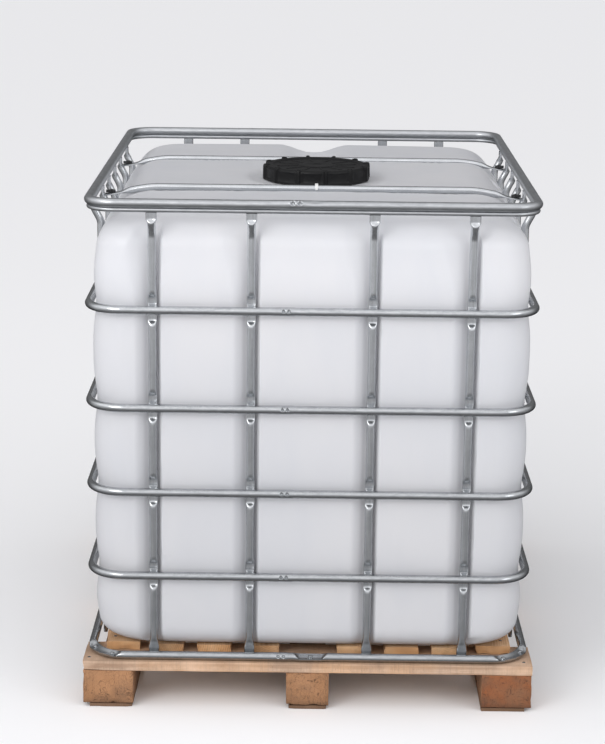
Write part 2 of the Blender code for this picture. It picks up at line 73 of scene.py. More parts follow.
# --- driving sizes
HALF_X = cad_high.x
HALF_Y = cad_high.y

RING_RADIUS = 0.0095
RING_INSET = 0.006
RING_CORNER = 0.082
RING_HEIGHTS = tuple(centre(f"cage_ring_{n}")[2] for n in range(1, 5))
BASE_HEIGHT = centre("base_rail")[2]
TUBE_SHRINK = 0.0001
DIMPLE_SIZE = 0.0031
DIMPLE_DEPTH = 0.0042
DIMPLE_LIP = 0.0003
JOINT_SWELL = 0.0005
RIM_RADIUS = 0.010
RIM_INSET = 0.009
RIM_CORNER = 0.060
RIM_HEIGHT = 1.1336
LIP_RADIUS = 0.0050
LIP_DROP = 0.0146

UPRIGHT_RADIUS = 0.009
UPRIGHT_FLARE = 0.0151
WELD_GAP = 0.0003
WALL_INSET = RING_INSET + 2.0 * RING_RADIUS + WELD_GAP + UPRIGHT_RADIUS
WALLS = {"front": (4, 180.0), "rear": (4, 0.0), "left": (6, 90.0), "right": (6, -90.0)}
BAR_Y = centre("cross_bar_rear")[1]
BAR_HEIGHT = 1.1125
BOLT_X = 0.4510
BOLT_HEIGHT = 1.1010

BOTTLE_HALF_X = 0.472
BOTTLE_HALF_Y = 0.572
BOTTLE_CORNER = 0.085
BOTTLE_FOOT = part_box("bottle")[0].z
BOTTLE_TOP = 1.103
FOOT_RADIUS = 0.055
SHOULDER_REACH = 0.110
SHOULDER_DROP = 0.070
GROOVE_DEPTH = 0.0175
BELLY = 0.0016
SHOULDER_LEAN = 0.0065
SIDE_BULGE = 0.0075
END_BULGE = 0.0020
NECK_X = 0.007
NECK_Y = -0.025
NECK_RADIUS = 0.1125
NECK_BORE = 0.105
NECK_FILLET = 0.006
NECK_TOP = 1.129
LID_FOOT = 1.1057
LID_TOP = 1.1395

OUTLET_HEIGHT = 0.203
VALVE_Y = 0.505
RECESS_HALF = 0.120
RECESS_BACK = 0.455
RECESS_TOP = 0.340

CAMERA_PLACE = (-0.0067, -4.9886, 1.8694)
CAMERA_TURN = (0.1607, 90.0 - 13.9996, 0.6845)
LENS = 102.1


# --- node helpers
class Nodes:
    """Short calls for the nodes of one tree."""

    def __init__(self, tree):
        self.tree = tree

    def add(self, kind, sockets=(), **settings):
        """A node, with its settings and (socket, value or link) pairs."""
        node = self.tree.nodes.new(kind)
        for name, value in settings.items():
            setattr(node, name, value)
        for name, value in sockets:
            self.feed(node.inputs[name], value)
        return node

    def feed(self, socket, value):
        if isinstance(value, bpy.types.NodeSocket):
            self.tree.links.new(value, socket)
        else:
            socket.default_value = value

    def split(self, vector):
        return self.add("ShaderNodeSeparateXYZ", [(0, vector)]).outputs

    def span(self, value, before, after, kind="LINEAR"):
        """The value, carried from one range to another."""
        return self.add("ShaderNodeMapRange", [
            ("Value", value), ("From Min", before[0]), ("From Max", before[1]),
            ("To Min", after[0]), ("To Max", after[1]),
        ], interpolation_type=kind).outputs["Result"]

    def ramp(self, value, *stops):
        """Stops are (position, colour); a colour may be a single grey."""
        node = self.add("ShaderNodeValToRGB", [("Fac", value)])
        points = node.color_ramp.elements
        while len(points) < len(stops):
            points.new(0.5)
        for point, (position, colour) in zip(points, stops):
            point.position = position
            if isinstance(colour, (int, float)):
                colour = (colour, colour, colour)
            point.color = (*colour, 1.0)
        return node.outputs["Color"]

    def mix(self, share, first, second, blend="MIX"):
        first, second = ((*v, 1.0) if isinstance(v, tuple) else v for v in (first, second))
        return self.add(
            "ShaderNodeMix", [(0, share), (6, first), (7, second)], data_type="RGBA", blend_type=blend,
        ).outputs[2]


class Look(Nodes):
    """A Principled material and short calls for what feeds it."""

    def __init__(self, name, **values):
        self.material = bpy.data.materials.new(name)
        self.material.use_nodes = True
        super().__init__(self.material.node_tree)
        self.shader = self.tree.nodes["Principled BSDF"]
        for socket, value in values.items():
            self.shader.inputs[socket.replace("_", " ")].default_value = value
        self.place = self.add("ShaderNodeTexCoord").outputs["Object"]

    def mapped(self, scale, offset=(0, 0, 0), turn=(0, 0, 0)):
        return self.add("ShaderNodeMapping", [
            ("Vector", self.place), ("Scale", scale), ("Location", offset), ("Rotation", turn),
        ]).outputs["Vector"]

    def noise(self, vector, scale, detail=3.0, rough=0.5, distortion=0.0):
        return self.add("ShaderNodeTexNoise", [
            ("Vector", vector), ("Scale", scale), ("Detail", detail),
            ("Roughness", rough), ("Distortion", distortion),
        ]).outputs["Fac"]

    def cells(self, vector, scale, output="Distance"):
        return self.add("ShaderNodeTexVoronoi", [("Vector", vector), ("Scale", scale)]).outputs[output]

    def over(self, base, value, low, high, share, colour):
        """The base with a colour laid over it, from none at low to a share at high."""
        return self.mix(self.ramp(value, (low, 0.0), (high, share)), base, colour)

    def by_height(self, *stops):
        """A tone that changes with height. Stops are (height in metres, tone), up to 1.2 m."""
        tallest = 1.2
        height = self.split(self.place)[2]
        share = self.add("ShaderNodeMath", [(0, height), (1, tallest)], operation="DIVIDE").outputs[0]
        return self.ramp(share, *((place / tallest, tone) for place, tone in stops))

    def colour(self, value):
        self.feed(self.shader.inputs["Base Color"], value)

    def roughness(self, value, low, high):
        self.feed(self.shader.inputs["Roughness"], self.span(value, (0.0, 1.0), (low, high)))

    def bump(self, *layers):
        """Layers are (height, strength, distance in metres), coarse to fine."""
        below = []
        for height, strength, distance in layers:
            node = self.add("ShaderNodeBump", [
                ("Height", height), ("Strength", strength), ("Distance", distance), *below,
            ])
            below = [("Normal", node.outputs["Normal"])]
        self.feed(self.shader.inputs["Normal"], node.outputs["Normal"])


def toned(colour, factor):
    return tuple(factor * c for c in colour)


# --- materials
def galvanised(name, streak, tone=1.0, low=0.17, high=0.28):
    """Zinc-coated tube: soft patches, drawn streaks along one axis and fine grit."""
    look = Look(name, Metallic=1.0)
    patches = look.noise(look.place, 26.0, 3.0, 0.6)
    spangle = look.cells(look.place, 210.0, output="Color")
    streaks = look.noise(look.mapped(streak), 1.0, 4.0, 0.65)
    grit = look.noise(look.place, 1400.0, 2.0)
    base = look.ramp(
        streaks,
        (0.30, toned((0.50, 0.52, 0.54), tone)),
        (0.50, toned((0.60, 0.62, 0.64), tone)),
        (0.72, toned((0.70, 0.72, 0.74), tone)),
    )
    grey = look.add("ShaderNodeRGBToBW", [(0, spangle)]).outputs[0]
    base = look.mix(0.08, base, look.ramp(grey, (0.2, 0.50), (0.8, 0.68)))
    base = look.over(base, patches, 0.40, 0.75, 0.35, (0.46, 0.47, 0.49))
    # Painted shade: the zinc is darkened towards the bottom of the cage, for the shade that falls on its
    # lower parts.
    painted_shade_by_height = look.by_height((0.15, 0.78), (0.60, 0.86), (1.00, 1.0))
    look.colour(look.mix(1.0, base, painted_shade_by_height, "MULTIPLY"))
    look.roughness(look.noise(look.place, 60.0, 4.0, 0.6), low, high)
    look.bump((streaks, 0.03, 0.0004), (patches, 0.06, 0.0012), (grit, 0.012, 0.0002))
    return look.material


def wood(name, seed, grain, light, dark, end, rings=90.0, cracks=0.5, stained=0.35, bleached=0.5):
    """Sawn softwood. Its rings and fibres run along one axis, and the cut ends differ in colour."""
    look = Look(name)
    axis = "XYZ".index(grain)
    stretch = [1.0, 1.0, 1.0]
    stretch[axis] = 0.05
    rng = np.random.default_rng(seed)
    offset = tuple(float(v) for v in rng.uniform(-0.4, 0.4, 3))
    turn = tuple(float(v) for v in rng.uniform(-0.05, 0.05, 3))
    along = look.mapped(stretch, offset, turn)
    year = look.add("ShaderNodeTexWave", [
        ("Vector", along), ("Scale", rings), ("Distortion", 3.0), ("Detail", 3.0), ("Detail Scale", 1.2),
    ], wave_type="RINGS", rings_direction=grain).outputs["Fac"]
    fibre = look.noise(along, 420.0, 4.0, 0.7)
    cloud = look.noise(look.mapped((2.0, 2.0, 2.0), offset), 4.0, 3.0, 0.6)
    knots = look.cells(look.mapped([2.0 * s + 0.6 for s in stretch], offset), 6.0)
    face = look.over(light, year, 0.2, 0.9, 0.75, dark)
    cut = look.over(end, year, 0.25, 0.85, 0.8, toned(end, 0.55))
    facing = look.split(look.add("ShaderNodeTexCoord").outputs["Normal"])[axis]
    end_on = look.add("ShaderNodeMath", [(0, facing)], operation="ABSOLUTE").outputs[0]
    base = look.mix(look.ramp(end_on, (0.55, 0.0), (0.8, 1.0)), face, cut)
    base = look.over(base, fibre, 0.35, 0.75, 0.45, toned(dark, 0.6))
    base = look.over(base, cloud, 0.40, 0.80, 0.45, toned(end, 1.15))
    base = look.mix(look.ramp(knots, (0.035, 0.85), (0.085, 0.0)), base, (0.10, 0.045, 0.02))
    crack = look.noise(look.mapped((38.0, 38.0, 9.0), offset), 1.0, 5.0, 0.75, 0.6)
    lines = look.ramp(crack, (0.492, 0.0), (0.5, cracks), (0.508, 0.0))
    base = look.mix(lines, base, (0.09, 0.045, 0.02))
    teeth = [9.0, 9.0, 9.0]
    teeth[axis] = 330.0
    saw = look.noise(look.mapped(teeth, offset, turn), 1.0, 3.0, 0.6)
    base = look.over(base, saw, 0.48, 0.70, 0.40, toned(light, 0.55))
    stain = look.noise(look.mapped((1.0, 1.0, 1.6), offset), 13.0, 5.0, 0.65)
    base = look.over(base, stain, 0.46, 0.68, stained, (0.15, 0.08, 0.045))
    bleach = look.noise(look.mapped((1.0, 1.0, 1.0), offset, turn), 8.0, 4.0, 0.6)
    pale = tuple(min(1.0, 1.35 * c + 0.03) for c in light)
    base = look.over(base, bleach, 0.52, 0.75, bleached, pale)
    if stained > 0.5:
        splits = look.noise(look.mapped((46.0, 46.0, 30.0), offset), 1.0, 2.0, 0.5, 1.8)
        gaps = look.ramp(splits, (0.470, 0.0), (0.485, 0.9), (0.500, 0.0))
        base = look.mix(gaps, base, (0.07, 0.03, 0.015))
        # The blocks run darker towards their bottom 45 mm.
        foot = look.by_height((0.008, 0.50), (0.018, 0.80), (0.045, 1.0))
        base = look.mix(1.0, base, foot, "MULTIPLY")
    look.colour(base)
    look.roughness(fibre, 0.62, 0.88)
    look.bump((year, 0.18, 0.0008), (saw, 0.30, 0.0007), (fibre, 0.35, 0.0006), (lines, -0.6, 0.0010))
    return look.material


def bottle_plastic():
    """Natural blow-moulded polyethylene: milky, satin, with slow waves in its wall."""
    look = Look("milky_polyethylene", Subsurface_Weight=0.18, Subsurface_Scale=0.012, IOR=1.5)
    look.shader.inputs["Subsurface Radius"].default_value = (1.0, 1.0, 1.1)
    broad = look.noise(look.place, 2.2, 3.0, 0.55)
    waves = look.noise(look.mapped((5.0, 5.0, 1.6)), 2.4, 3.0, 0.5, 0.4)
    peel = look.noise(look.place, 260.0, 3.0, 0.55)
    tone = look.ramp(broad, (0.30, (0.665, 0.675, 0.705)), (0.70, (0.715, 0.714, 0.732)))
    tone = look.over(tone, waves, 0.45, 0.80, 0.35, (0.635, 0.650, 0.690))
    # Painted shade: the milky wall is darkened towards the bottom and again on the top surfaces above 1.09
    # m, where less light falls than on the upper front.
    painted_shade_by_height = look.by_height(
        (0.14, 0.80), (0.45, 0.84), (0.80, 0.93), (1.00, 1.00), (1.09, 1.0), (1.112, 0.89)
    )
    look.colour(look.mix(1.0, tone, painted_shade_by_height, "MULTIPLY"))
    look.roughness(look.noise(look.place, 34.0, 3.0), 0.36, 0.52)
    look.bump((waves, 0.12, 0.0030), (peel, 0.05, 0.0004))
    return look.material


def moulded(name, colour, worn, low=0.30, high=0.55, gloss=0.5):
    """Moulded plastic: fine spark-eroded grain, a slow sheen change and scuffs."""
    look = Look(name, Specular_IOR_Level=gloss)
    scuff = look.noise(look.mapped((1.0, 1.0, 3.0)), 60.0, 5.0, 0.7)
    texture = look.noise(look.place, 900.0, 2.0)
    look.colour(look.over(colour, scuff, 0.48, 0.78, 0.8, worn))
    look.roughness(look.noise(look.place, 45.0, 4.0, 0.6), low, high)
    look.bump((scuff, 0.08, 0.0006), (texture, 0.12, 0.0002))
    return look.material


# Painted light: the tone factors make lit and shaded copies of one zinc finish, each part lighter or darker
# for how light falls on it; the cross bars' tone also stands in for the pale reflection they show.
METAL_UP = galvanised("galvanised_upright", (170.0, 170.0, 9.0), 1.02)
METAL_RING = galvanised("galvanised_ring", (55.0, 55.0, 300.0), 0.92)
METAL_RIM = galvanised("galvanised_rim", (40.0, 40.0, 260.0), 0.83, 0.33, 0.44)
METAL_BAR = galvanised("galvanised_bar", (10.0, 260.0, 260.0), 1.05)
METAL_BOLT = galvanised("zinc_bolt", (240.0, 240.0, 240.0), 0.8)
MILKY = bottle_plastic()
BLACK_LID = moulded(
    "black_lid_plastic", (0.0045, 0.0045, 0.005), (0.012, 0.012, 0.0125), 0.36, 0.52, gloss=0.23
)
BLACK_NUT = moulded("black_nut_plastic", (0.008, 0.008, 0.009), (0.020, 0.020, 0.021), gloss=0.35)
DARK_VALVE = moulded("dark_valve_plastic", (0.032, 0.033, 0.036), (0.055, 0.056, 0.060))
RED_LEVER = moulded("red_lever_plastic", (0.42, 0.022, 0.014), (0.50, 0.060, 0.040), 0.22, 0.42)
PALE_DISC = moulded("pale_disc_plastic", (0.66, 0.66, 0.63), (0.55, 0.55, 0.52))
RUBBER = moulded("black_seal_rubber", (0.020, 0.020, 0.020), (0.034, 0.034, 0.034), 0.6, 0.8)
BLACK_BOLT = moulded("black_bolt_coating", (0.016, 0.016, 0.018), (0.05, 0.05, 0.055), 0.35, 0.55)
WHITE_TIE = moulded("white_tie_plastic", (0.80, 0.80, 0.79), (0.70, 0.70, 0.69), 0.30, 0.45)


# --- mesh helpers
def finish_piece(
    name, mesh, material, replaces=(), body="container", sharp=35.0
):
    """Turn a mesh into a piece that rides on a body and stands for its CAD nodes."""
    mesh.name = name
    mesh.materials.clear()
    mesh.materials.append(material)
    mesh.shade_smooth()
    mesh.set_sharp_from_angle(angle=math.radians(sharp))
    obj = bpy.data.objects.new(name, mesh)
    bpy.context.scene.collection.objects.link(obj)
    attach(obj, body)
    if replaces:
        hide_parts(*replaces)
    return obj


def skin(rows, closed=False):
    """Points and faces over rows of points. The rows close on themselves, or else are capped."""
    rows = np.asarray(rows, float)
    count, width = rows.shape[:2]
    faces = []
    for r in range(count if closed else count - 1):
        s = (r + 1) % count
        for c in range(width):
            d = (c + 1) % width
            faces.append((r * width + c, r * width + d, s * width + d, s * width + c))
    if not closed:
        faces.append(tuple(range(width - 1, -1, -1)))
        faces.append(tuple((count - 1) * width + c for c in range(width)))
    return rows.reshape(-1, 3), faces


def around(count):
    """Angles spaced evenly round a circle."""
    return np.arange(count) * 2.0 * math.pi / count


def merged(parts):
    """One mesh from several (points, faces) parts, its faces turned outwards."""
    points, faces, start = [], [], 0
    for part_points, part_faces in parts:
        points.append(np.asarray(part_points, float))
        faces += [tuple(i + start for i in face) for face in part_faces]
        start += len(part_points)
    mesh = bpy.data.meshes.new("piece")
    mesh.from_pydata(np.concatenate(points).tolist(), [], faces)
    bm = bmesh.new()
    bm.from_mesh(mesh)
    bmesh.ops.remove_doubles(bm, verts=bm.verts[:], dist=1e-6)
    bmesh.ops.recalc_face_normals(bm, faces=bm.faces[:])
    bm.to_mesh(mesh)
    bm.free()
    return mesh


def drilled(part, tool):
    """The part, as (points, faces), with the tool's space cut out of it."""
    body, cutter = (bpy.data.objects.new("blank", merged([shape])) for shape in (part, tool))
    for obj in (body, cutter):
        bpy.context.scene.collection.objects.link(obj)
    cut = body.modifiers.new("cut", "BOOLEAN")
    cut.operation, cut.solver, cut.object = "DIFFERENCE", "EXACT", cutter
    result = body.evaluated_get(bpy.context.evaluated_depsgraph_get()).to_mesh()
    points = [tuple(vertex.co) for vertex in result.vertices]
    faces = [tuple(face.vertices) for face in result.polygons]
    for obj in (body, cutter):
        bpy.data.objects.remove(obj)
    return points, faces


def smooth(value):
    value = np.clip(value, 0.0, 1.0)
    return value * value * (3.0 - 2.0 * value)


def soft_min(value, limit, softness):
    """The smaller of the two, with a rounded change between them."""
    return limit - softness * np.logaddexp(0.0, (limit - value) / softness)


def lathe(stations, count, place, closed=True):
    """Rows of a turned form. Stations are (height, radius); the path closes on itself."""
    return skin([
        [place @ Vector((radius * math.cos(a), radius * math.sin(a), height)) for a in around(count)]
        for height, radius in stations
    ], closed)


def rounded(radius, *stations):
    """Round the corners of a closed (height, radius) profile."""
    points = [Vector(station) for station in stations]
    out = []
    steps = 3
    for i, here in enumerate(points):
        before, after = points[i - 1], points[(i + 1) % len(points)]
        reach = min(radius, 0.45 * (before - here).length, 0.45 * (after - here).length)
        first = here + (before - here).normalized() * reach
        last = here + (after - here).normalized() * reach
        for step in range(steps + 1):
            t = step / steps
            point = first * (1 - t) ** 2 + here * (2 * t * (1 - t)) + last * t ** 2
            out.append((point.x, point.y))
    return out


def along_y(y=0.0):
    """The outlet's axis: heights of a turned form run towards +Y, from y."""
    return Matrix.Translation((0.0, y, OUTLET_HEIGHT)) @ Matrix.Rotation(math.radians(-90.0), 4, "X")


ON_NECK = Matrix.Translation((NECK_X, NECK_Y, 0.0))
ON_STEM = Matrix.Translation((0.0, VALVE_Y, 0.0))


# --- rings
def ring_stations(inset, corner, fine):
    """Centre line round the cage: (x, y, outward x, outward y, place along the front or nan)."""
    half_x = HALF_X - inset
    half_y = HALF_Y - inset
    straight_x = half_x - corner
    straight_y = half_y - corner
    coarse = 0.03
    front = np.linspace(-straight_x, straight_x, int(2 * straight_x / coarse) + 1)[:-1]
    if fine:
        low, high, _ = fine
        front = np.concatenate([front[(front < low) | (front > high)], np.arange(*fine)])
        front = np.unique(np.round(front, 6))
    stations = [(x, -half_y, 0.0, -1.0, x) for x in front]
    sides = np.linspace(-straight_y, straight_y, int(2 * straight_y / coarse) + 1)[:-1]
    steps = 22

    def arc(centre_x, centre_y, start):
        for i in range(steps):
            angle = math.radians(start + 90.0 * i / steps)
            nx, ny = math.cos(angle), math.sin(angle)
            yield (centre_x + corner * nx, centre_y + corner * ny, nx, ny, math.nan)

    stations += arc(straight_x, -straight_y, -90.0)
    stations += [(half_x, y, 1.0, 0.0, math.nan) for y in sides]
    stations += arc(straight_x, straight_y, 0.0)
    stations += [(-x, half_y, 0.0, 1.0, math.nan) for x in front]
    stations += arc(-straight_x, straight_y, 90.0)
    stations += [(-half_x, -y, -1.0, 0.0, math.nan) for y in sides]
    stations += arc(-straight_x, -straight_y, 180.0)
    return stations


def dent(theta, along, radius, centre_theta, centre_x, size, depth, lip):
    """A punched dimple in a tube's wall, with the small lip it throws up."""
    arc = radius * np.abs(np.angle(np.exp(1j * (theta - centre_theta))))
    far = np.hypot(along - centre_x, arc)
    raised = lip * np.exp(-(((far - 1.45 * size) / (0.4 * size)) ** 2))
    return raised - depth * np.exp(-((far / size) ** 4))


def tube_ring(height, inset, corner, radius, sides, change, fine):
    """A closed tube; change gives (radius change, rise) for each section and place along it."""
    theta = around(sides)
    rows = []
    for x, y, nx, ny, front in ring_stations(inset, corner, fine):
        out, rise = change(theta, front, x, y)
        r = radius + out
        a = r * np.cos(theta)
        b = r * np.sin(theta) + rise
        rows.append(np.stack([x + nx * a, y + ny * a, height + b], axis=1))
    return skin(rows, closed=True)


def joint_change(dimples, joint, tilt):
    """The joint in a ring: the fatter outer tube ends at a step, held by two dimples."""

    def change(theta, front, x, y):
        out = np.zeros_like(theta)
        if math.isnan(front) or abs(front - joint) > 0.16:
            return out, 0.0
        fat = smooth((front - (joint - 0.075)) / 0.05) * (front < joint)
        out += JOINT_SWELL * fat
        out -= 0.5 * JOINT_SWELL * smooth(1.0 - (front - joint) / 0.03) * (front >= joint)
        for place in dimples:
            out += dent(
                theta, front, RING_RADIUS, math.radians(tilt), place, DIMPLE_SIZE, DIMPLE_DEPTH, DIMPLE_LIP
            )
        return out, 0.0

    return change


def build_rings():
    inset = RING_INSET + RING_RADIUS
    joints = ((-0.061, -0.0495), (-0.0615, -0.0495), (-0.061, -0.050), (-0.0605, -0.0495))
    for number, (height, dimples) in enumerate(zip(RING_HEIGHTS, joints), start=1):
        change = joint_change(dimples, -0.036, 14.0)
        fine = (-0.115, 0.0, 0.0012)
        part = tube_ring(height, inset, RING_CORNER, RING_RADIUS - TUBE_SHRINK, 44, change, fine)
        node = f"cage_ring_{number}"
        finish_piece(f"{node}_tube", merged([part]), METAL_RING, (node,))


def build_base_rail():
    """The bottom rail: pressed flat at its corners and at the front for the screws."""
    inset = RING_INSET + RING_RADIUS
    joint = joint_change((-0.066, -0.054), -0.044, 20.0)
    corner_x = HALF_X - inset - RING_CORNER
    corner_y = HALF_Y - inset - RING_CORNER

    def change(theta, front, x, y):
        out, rise = joint(theta, front, x, y)
        flat = 0.0
        if abs(y) > HALF_Y - inset - 1e-4:
            flat = float(smooth((0.040 - abs(x - 0.006)) / 0.018))
        bend_x = max(abs(x) - corner_x, 0.0)
        bend_y = max(abs(y) - corner_y, 0.0)
        turn = math.degrees(math.atan2(bend_y, bend_x)) if bend_x and bend_y else -1.0
        if turn > 0.0:
            flat = float(smooth((min(turn - 8.0, 84.0 - turn)) / 12.0))
        if flat:
            top = RING_RADIUS * np.sin(theta)
            wide = 0.22 * flat * RING_RADIUS * np.abs(np.cos(theta)) ** 2
            limit = RING_RADIUS * (1.0 - 0.95 * flat - 0.45 * flat * np.cos(theta))
            pressed = soft_min(top, limit + 0.0004, 0.0005)
            dish = 0.0016 * flat * (1.0 - np.cos(theta) ** 2) * (np.sin(theta) > 0.0)
            drop = np.where(np.sin(theta) > 0.0, top - pressed + dish, 0.0)
            return out + wide, -drop
        return out, rise

    fine = (-0.115, 0.06, 0.0012)
    part = tube_ring(BASE_HEIGHT, inset, RING_CORNER, RING_RADIUS - TUBE_SHRINK, 44, change, fine)
    finish_piece("base_rail_tube", merged([part]), METAL_RING, ("base_rail",))


def build_rim():
    """The top rim: a large tube with a crimped joint, and the thin lip tube under it."""
    inset = RIM_INSET + RIM_RADIUS

    def main(theta, front, x, y):
        out = np.zeros_like(theta)
        if math.isnan(front) or not -0.16 < front < 0.06:
            return out, 0.0
        swell = 0.0016 * np.exp(-(((front + 0.050) / 0.030) ** 2))
        out += swell * (0.35 + 0.65 * np.clip(np.sin(theta), 0.0, 1.0))
        out -= 0.0022 * np.exp(-(((front - 0.004) / 0.020) ** 2)) * np.exp(
            -(((theta - math.radians(55.0)) / 0.55) ** 2)
        )
        for place in (-0.0435, -0.0285):
            out += dent(theta, front, RIM_RADIUS, math.radians(30.0), place, 0.0042, 0.0052, 0.0005)
        ceiling = RIM_RADIUS / np.maximum(np.sin(theta), 0.5) - RIM_RADIUS
        return np.minimum(out, ceiling), 0.0

    def lip(theta, front, x, y):
        return np.zeros_like(theta), 0.0

    fine = (-0.115, 0.035, 0.0013)
    rim = tube_ring(RIM_HEIGHT, inset, RIM_CORNER, RIM_RADIUS - TUBE_SHRINK, 48, main, fine)
    low = tube_ring(RIM_HEIGHT - LIP_DROP, inset, RIM_CORNER, LIP_RADIUS, 24, lip, None)
    finish_piece("top_rim_tube", merged([rim, low]), METAL_RIM, ("top_rim",))


# --- uprights
def upright_rows(low, high):
    """One upright standing at the origin: X along the wall, Y outwards, Z up."""
    heights = set(np.round(np.arange(low, high, 0.012), 4)) | {low, high}
    shaped = [(ring - 0.046, ring + 0.046) for ring in (*RING_HEIGHTS, BASE_HEIGHT)]
    for start, end in (*shaped, (high - 0.075, high), (low, low + 0.06)):
        heights |= {round(float(z), 4) for z in np.arange(start, end, 0.0022)}
    theta = around(28)
    rows = []
    for z in sorted(h for h in heights if low <= h <= high):
        press = 0.0
        pad = 0.0
        for ring in RING_HEIGHTS:
            away = abs(z - ring)
            press = max(press, float(smooth((0.038 - away) / 0.015)))
            pad = max(pad, float(smooth((0.0105 - away) / 0.004)))
        top = float(smooth((z - (high - 0.024)) / 0.011))
        foot = float(smooth((low + 0.050 - z) / 0.028))
        flat = max(top, foot)
        half = UPRIGHT_RADIUS * (1.0 + 0.10 * press) + 0.0030 * flat
        across = half * np.cos(theta)
        deep = UPRIGHT_RADIUS * np.sin(theta)
        front = UPRIGHT_RADIUS * (1.0 - 0.70 * press * (1.0 - 0.9 * pad)) * (1.0 - flat) + 0.0042 * flat
        back = UPRIGHT_RADIUS * (1.0 - flat) + 0.0042 * flat
        round_share = 1.0 - max(press, flat)
        if round_share < 1.0:
            deep = soft_min(deep, front, 0.0005)
            deep = -soft_min(-deep, back, 0.0005) if flat > 0.0 else deep
        hollow = (press * (1.0 - pad) * 0.0016 + top * 0.0030) * (1.0 - (across / half) ** 2)
        deep = np.where(np.sin(theta) > 0.2, deep - hollow, deep)
        shift = UPRIGHT_FLARE * float(smooth((z - (high - 0.056)) / 0.041))
        rows.append(np.stack([across, deep + shift, np.full_like(theta, z)], axis=1))
    return np.array(rows)


def build_uprights():
    low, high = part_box("upright_front_1")
    rows = upright_rows(low.z, high.z)
    for wall, (count, turn) in WALLS.items():
        angle = math.radians(turn)
        cos, sin = math.cos(angle), math.sin(angle)
        for number in range(1, count + 1):
            node = f"upright_{wall}_{number}"
            x, y, _ = centre(node)
            if wall in ("front", "rear"):
                y = math.copysign(HALF_Y - WALL_INSET, y)
            else:
                x = math.copysign(HALF_X - WALL_INSET, x)
            turned = rows.copy()
            turned[..., 0] = cos * rows[..., 0] - sin * rows[..., 1] + x
            turned[..., 1] = sin * rows[..., 0] + cos * rows[..., 1] + y
            finish_piece(f"{node}_tube", merged([skin(turned)]), METAL_UP, (node,))


# --- cross bars
def build_cross_bars():
    """Two tubes over the bottle. Their ends bend down, flatten and are bolted to the uprights."""
    end_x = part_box("cross_bar_front")[1].x
    round_half, flat_half, flat_thick = 0.008, 0.0118, 0.0026
    theta = around(28)
    for name, y in (("front", -BAR_Y), ("rear", BAR_Y)):
        path = []
        for x in np.concatenate([np.linspace(0.0, 0.34, 18), np.linspace(0.345, end_x, 40)]):
            down = float(smooth((x - 0.352) / (end_x - 0.330)))
            path.append((x, BAR_HEIGHT - 0.0205 * down, smooth((x - 0.412) / 0.032)))
        path = [(-x, z, f) for x, z, f in reversed(path[1:])] + path
        rows = []
        for i, (x, z, flat) in enumerate(path):
            before, after = path[max(i - 1, 0)], path[min(i + 1, len(path) - 1)]
            run, rise = after[0] - before[0], after[1] - before[1]
            length = math.hypot(run, rise)
            half = round_half * (1 - flat) + flat_half * flat
            thick = round_half * (1 - flat) + flat_thick * flat
            lift = thick * np.sin(theta)
            rows.append(np.stack([
                x - rise / length * lift,
                y + half * np.cos(theta),
                z + run / length * lift,
            ], axis=1))
        finish_piece(f"cross_bar_{name}_tube", merged([skin(rows)]), METAL_BAR, (f"cross_bar_{name}",))


def hexagon(radius, low, high, place):
    """A bolt head or nut: six sides with both ends chamfered."""
    bevel = 0.0007
    small = radius - bevel
    return lathe(
        ((low, small), (low + bevel, radius), (high - bevel, radius), (high, small)), 6, place, closed=False
    )


def build_bar_bolts():
    """A short bolt through each bar end into its upright, with a nut on the inner side."""
    parts = []
    for sign_x in (-1, 1):
        for y in (-BAR_Y, BAR_Y):
            place = Matrix.Translation((sign_x * BOLT_X, y, BOLT_HEIGHT)) @ Matrix.Rotation(
                math.radians(sign_x * 90.0), 4, "Y"
            )
            shank = rounded(0.0005, (0.0, 0.0001), (0.0, 0.0036), (0.0215, 0.0036), (0.0215, 0.0001))
            washer = rounded(0.0004, (0.0101, 0.0001), (0.0101, 0.0072), (0.0114, 0.0072), (0.0114, 0.0001))
            parts.append(lathe(shank, 24, place))
            parts.append(hexagon(0.0052, 0.0045, 0.0100, place))
            parts.append(lathe(washer, 28, place))
    finish_piece("cross_bar_bolts", merged(parts), BLACK_BOLT)


# --- bottle
def wall_places(centres, straight, hand, extra=()):
    """Places along one wall, close together in the grooves and closest on their steep side."""
    places = set(np.round(np.linspace(-straight, straight, int(2 * straight / 0.022)), 5))
    offsets = np.concatenate([np.linspace(-0.068, -0.014, 13), np.linspace(-0.011, 0.024, 14)])
    for centre in centres:
        for offset in offsets:
            places.add(round(float(centre + hand * offset), 5))
    for value in extra:
        places.add(round(float(value), 5))
    ordered = sorted(p for p in places if -straight <= p <= straight)
    kept = [ordered[0]]
    for place in ordered[1:-1]:
        if place - kept[-1] > 0.0018:
            kept.append(place)
    return np.array(kept + [ordered[-1]])


def groove(place, centres, height, hand):
    """How far in, from 0 to 1, the wall runs at a place along it, for the uprights.

    Seen from outside, the left side of a groove is a wide slope and the right side is steep.
    """
    widen = smooth((height - 0.93) / 0.12)
    slope = 0.038 + 0.026 * widen
    steep = 0.0195
    floor = 0.0105
    depth = np.zeros_like(place)
    for centre in centres:
        away = hand * (place - centre)
        mouth = np.where(away < 0.0, slope, steep)
        share = np.clip((mouth - np.abs(away)) / (mouth - floor), 0.0, 1.0)
        depth = np.maximum(depth, 0.75 * share + 0.25 * smooth(share))
    return depth


